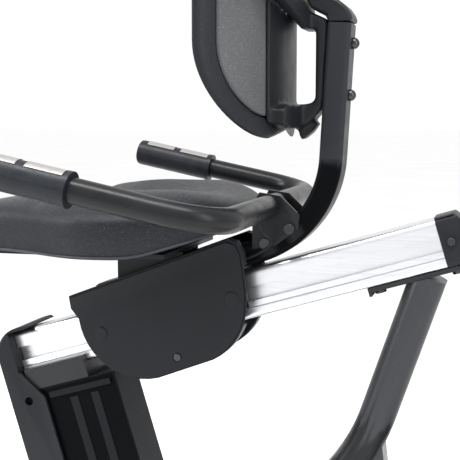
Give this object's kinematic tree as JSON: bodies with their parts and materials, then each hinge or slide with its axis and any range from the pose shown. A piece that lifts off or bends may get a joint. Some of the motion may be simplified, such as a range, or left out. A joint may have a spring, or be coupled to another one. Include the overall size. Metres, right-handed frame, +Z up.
{
  "type": "recumbent exercise bike",
  "caption": "Recumbent exercise bike: a padded seat with backrest and side grips slides on a sloping rail behind belt-driven pedals, a tilting console and front grips.",
  "frame": {"origin": "on the floor below the middle of the machine's length and width", "axes": "+X to the rear of the machine, +Y to the rider's right, +Z up"},
  "size_m": [1.48, 0.5902, 1.1954],
  "materials": {
    "frame_paint": "satin powder coat, near black",
    "black_plastic": "moulded, fine texture, charcoal",
    "grey_plastic": "moulded, speckled mid grey",
    "rail_aluminium": "bright anodised extrusion",
    "bare_steel": "turned and bright",
    "dark_fasteners": "black chrome",
    "seat_vinyl": "grained vinyl, charcoal",
    "back_vinyl": "smooth vinyl, charcoal",
    "grip_rubber": "moulded, fine texture",
    "sensor_steel": "brushed",
    "black_rubber": "matt",
    "flywheel_iron": "turned",
    "screen": "dark display window",
    "buttons": "soft grey"
  },
  "bodies": {
    "frame": {"spine_tube": "frame_paint", "rear_leg": "frame_paint", "stabilizers": "frame_paint", "stabilizer_caps": "black_plastic", "upright_post": "frame_paint", "upright_cover": "black_plastic", "seat_rail": "rail_aluminium", "rail_end_cap": "black_plastic", "rail_mounts": "frame_paint", "frame_bolts": "dark_fasteners", "drive_frame": "frame_paint", "crank_bearings": "bare_steel", "housing_left": "black_plastic", "housing_right": "black_plastic", "fixed_axles": "bare_steel", "drive_belt": "black_rubber", "tension_motor": "grey_plastic", "console_mast": "frame_paint", "front_handlebar": "frame_paint", "front_grips": "grip_rubber"},
    "crank": {"crank_axle": "bare_steel", "drive_pulley": "grey_plastic", "crank_arm_left": "frame_paint", "crank_arm_right": "frame_paint", "pedal_spindles": "bare_steel"},
    "left_pedal": {"pedal_left": "black_plastic", "strap_left": "black_rubber"},
    "right_pedal": {"pedal_right": "black_plastic", "strap_right": "black_rubber"},
    "flywheel": {"flywheel": "flywheel_iron"},
    "magnet_arm": {"magnet_arm": "bare_steel"},
    "left_wheel": {"wheel_left": "black_rubber"},
    "right_wheel": {"wheel_right": "black_rubber"},
    "left_foot": {"foot_left": "black_rubber"},
    "right_foot": {"foot_right": "black_rubber"},
    "console": {"console_shell": "black_plastic", "console_screen": "screen"},
    "start_button": {"button_start": "buttons"},
    "up_button": {"button_up": "buttons"},
    "down_button": {"button_down": "buttons"},
    "carriage": {"carriage_frame": "frame_paint", "cover_left": "black_plastic", "cover_right": "black_plastic", "seat_base": "black_plastic", "seat_cushion": "seat_vinyl", "seat_handlebar": "frame_paint", "handle_grips": "grip_rubber", "sensor_plates": "sensor_steel", "backrest_post": "frame_paint", "post_cap": "black_plastic", "backrest_shell": "grey_plastic", "backrest_spine": "black_plastic", "backrest_pad": "back_vinyl", "roller_axles": "bare_steel", "seat_screws": "dark_fasteners", "pulse_wire": "black_rubber"},
    "front_rollers": {"front_rollers": "grey_plastic"},
    "rear_rollers": {"rear_rollers": "grey_plastic"},
    "seat_lever": {"seat_lever": "frame_paint"},
    "lock_shoe": {"lock_shoe": "black_rubber"}
  },
  "joints": [
    {"name": "seat_slide", "type": "slide", "parent": "frame", "child": "carriage", "axis": [0.9572, 0, 0.2895], "range_m": [0, 0.235]},
    {"name": "front_roller_spin", "type": "hinge", "parent": "carriage", "child": "front_rollers", "pos_m": [0.03353, 0, 0.41117], "axis": [0, 1, 0], "range_deg": [-10, 1500]},
    {"name": "rear_roller_spin", "type": "hinge", "parent": "carriage", "child": "rear_rollers", "pos_m": [0.21443, 0, 0.46589], "axis": [0, 1, 0], "range_deg": [-10, 1500]},
    {"name": "seat_lever_pull", "type": "hinge", "parent": "carriage", "child": "seat_lever", "pos_m": [0.12478, 0, 0.38235], "axis": [0, 1, 0], "range_deg": [0, 25], "stiffness_Nm_per_rad": 2, "springref_deg": -28.65},
    {"name": "lock_shoe_slide", "type": "slide", "parent": "carriage", "child": "lock_shoe", "axis": [0.2895, 0, -0.9572], "range_m": [0, 0.0069]},
    {"name": "crank_spin", "type": "hinge", "parent": "frame", "child": "crank", "pos_m": [-0.425, 0, 0.335], "axis": [0, 1, 0], "continuous": true},
    {"name": "left_pedal_spin", "type": "hinge", "parent": "crank", "child": "left_pedal", "pos_m": [-0.51, -0.1475, 0.48222], "axis": [0, 1, 0], "continuous": true},
    {"name": "right_pedal_spin", "type": "hinge", "parent": "crank", "child": "right_pedal", "pos_m": [-0.34, 0.1475, 0.18778], "axis": [0, 1, 0], "continuous": true},
    {"name": "flywheel_spin", "type": "hinge", "parent": "frame", "child": "flywheel", "pos_m": [-0.56, 0, 0.3], "axis": [0, 1, 0], "continuous": true},
    {"name": "magnet_arm_swing", "type": "hinge", "parent": "frame", "child": "magnet_arm", "pos_m": [-0.655, 0.02, 0.215], "axis": [0, 1, 0], "range_deg": [0, 8]},
    {"name": "left_wheel_spin", "type": "hinge", "parent": "frame", "child": "left_wheel", "pos_m": [-0.712, -0.2, 0.038], "axis": [0, 1, 0], "continuous": true},
    {"name": "right_wheel_spin", "type": "hinge", "parent": "frame", "child": "right_wheel", "pos_m": [-0.712, 0.2, 0.038], "axis": [0, 1, 0], "continuous": true},
    {"name": "left_foot_height", "type": "slide", "parent": "frame", "child": "left_foot", "axis": [0, 0, -1], "range_m": [0, 0.01]},
    {"name": "right_foot_height", "type": "slide", "parent": "frame", "child": "right_foot", "axis": [0, 0, -1], "range_m": [0, 0.01]},
    {"name": "console_tilt", "type": "hinge", "parent": "frame", "child": "console", "pos_m": [-0.604, 0, 1.09], "axis": [0, 1, 0], "range_deg": [-15, 20]},
    {"name": "start_button_press", "type": "slide", "parent": "console", "child": "start_button", "axis": [-0.8192, 0, -0.5736], "range_m": [0, 0.0015], "stiffness_N_per_m": 600, "springref_m": -0.001},
    {"name": "up_button_press", "type": "slide", "parent": "console", "child": "up_button", "axis": [-0.8192, 0, -0.5736], "range_m": [0, 0.0015], "stiffness_N_per_m": 600, "springref_m": -0.001},
    {"name": "down_button_press", "type": "slide", "parent": "console", "child": "down_button", "axis": [-0.8192, 0, -0.5736], "range_m": [0, 0.0015], "stiffness_N_per_m": 600, "springref_m": -0.001}
  ],
  "couplings": [
    {"joint": "front_roller_spin", "follows": "seat_slide", "rad_per_m": 108.7},
    {"joint": "rear_roller_spin", "follows": "seat_slide", "rad_per_m": 108.7},
    {"joint": "lock_shoe_slide", "follows": "seat_lever_pull", "m_per_rad": 0.0155},
    {"joint": "flywheel_spin", "follows": "crank_spin", "ratio": 4.75}
  ]
}
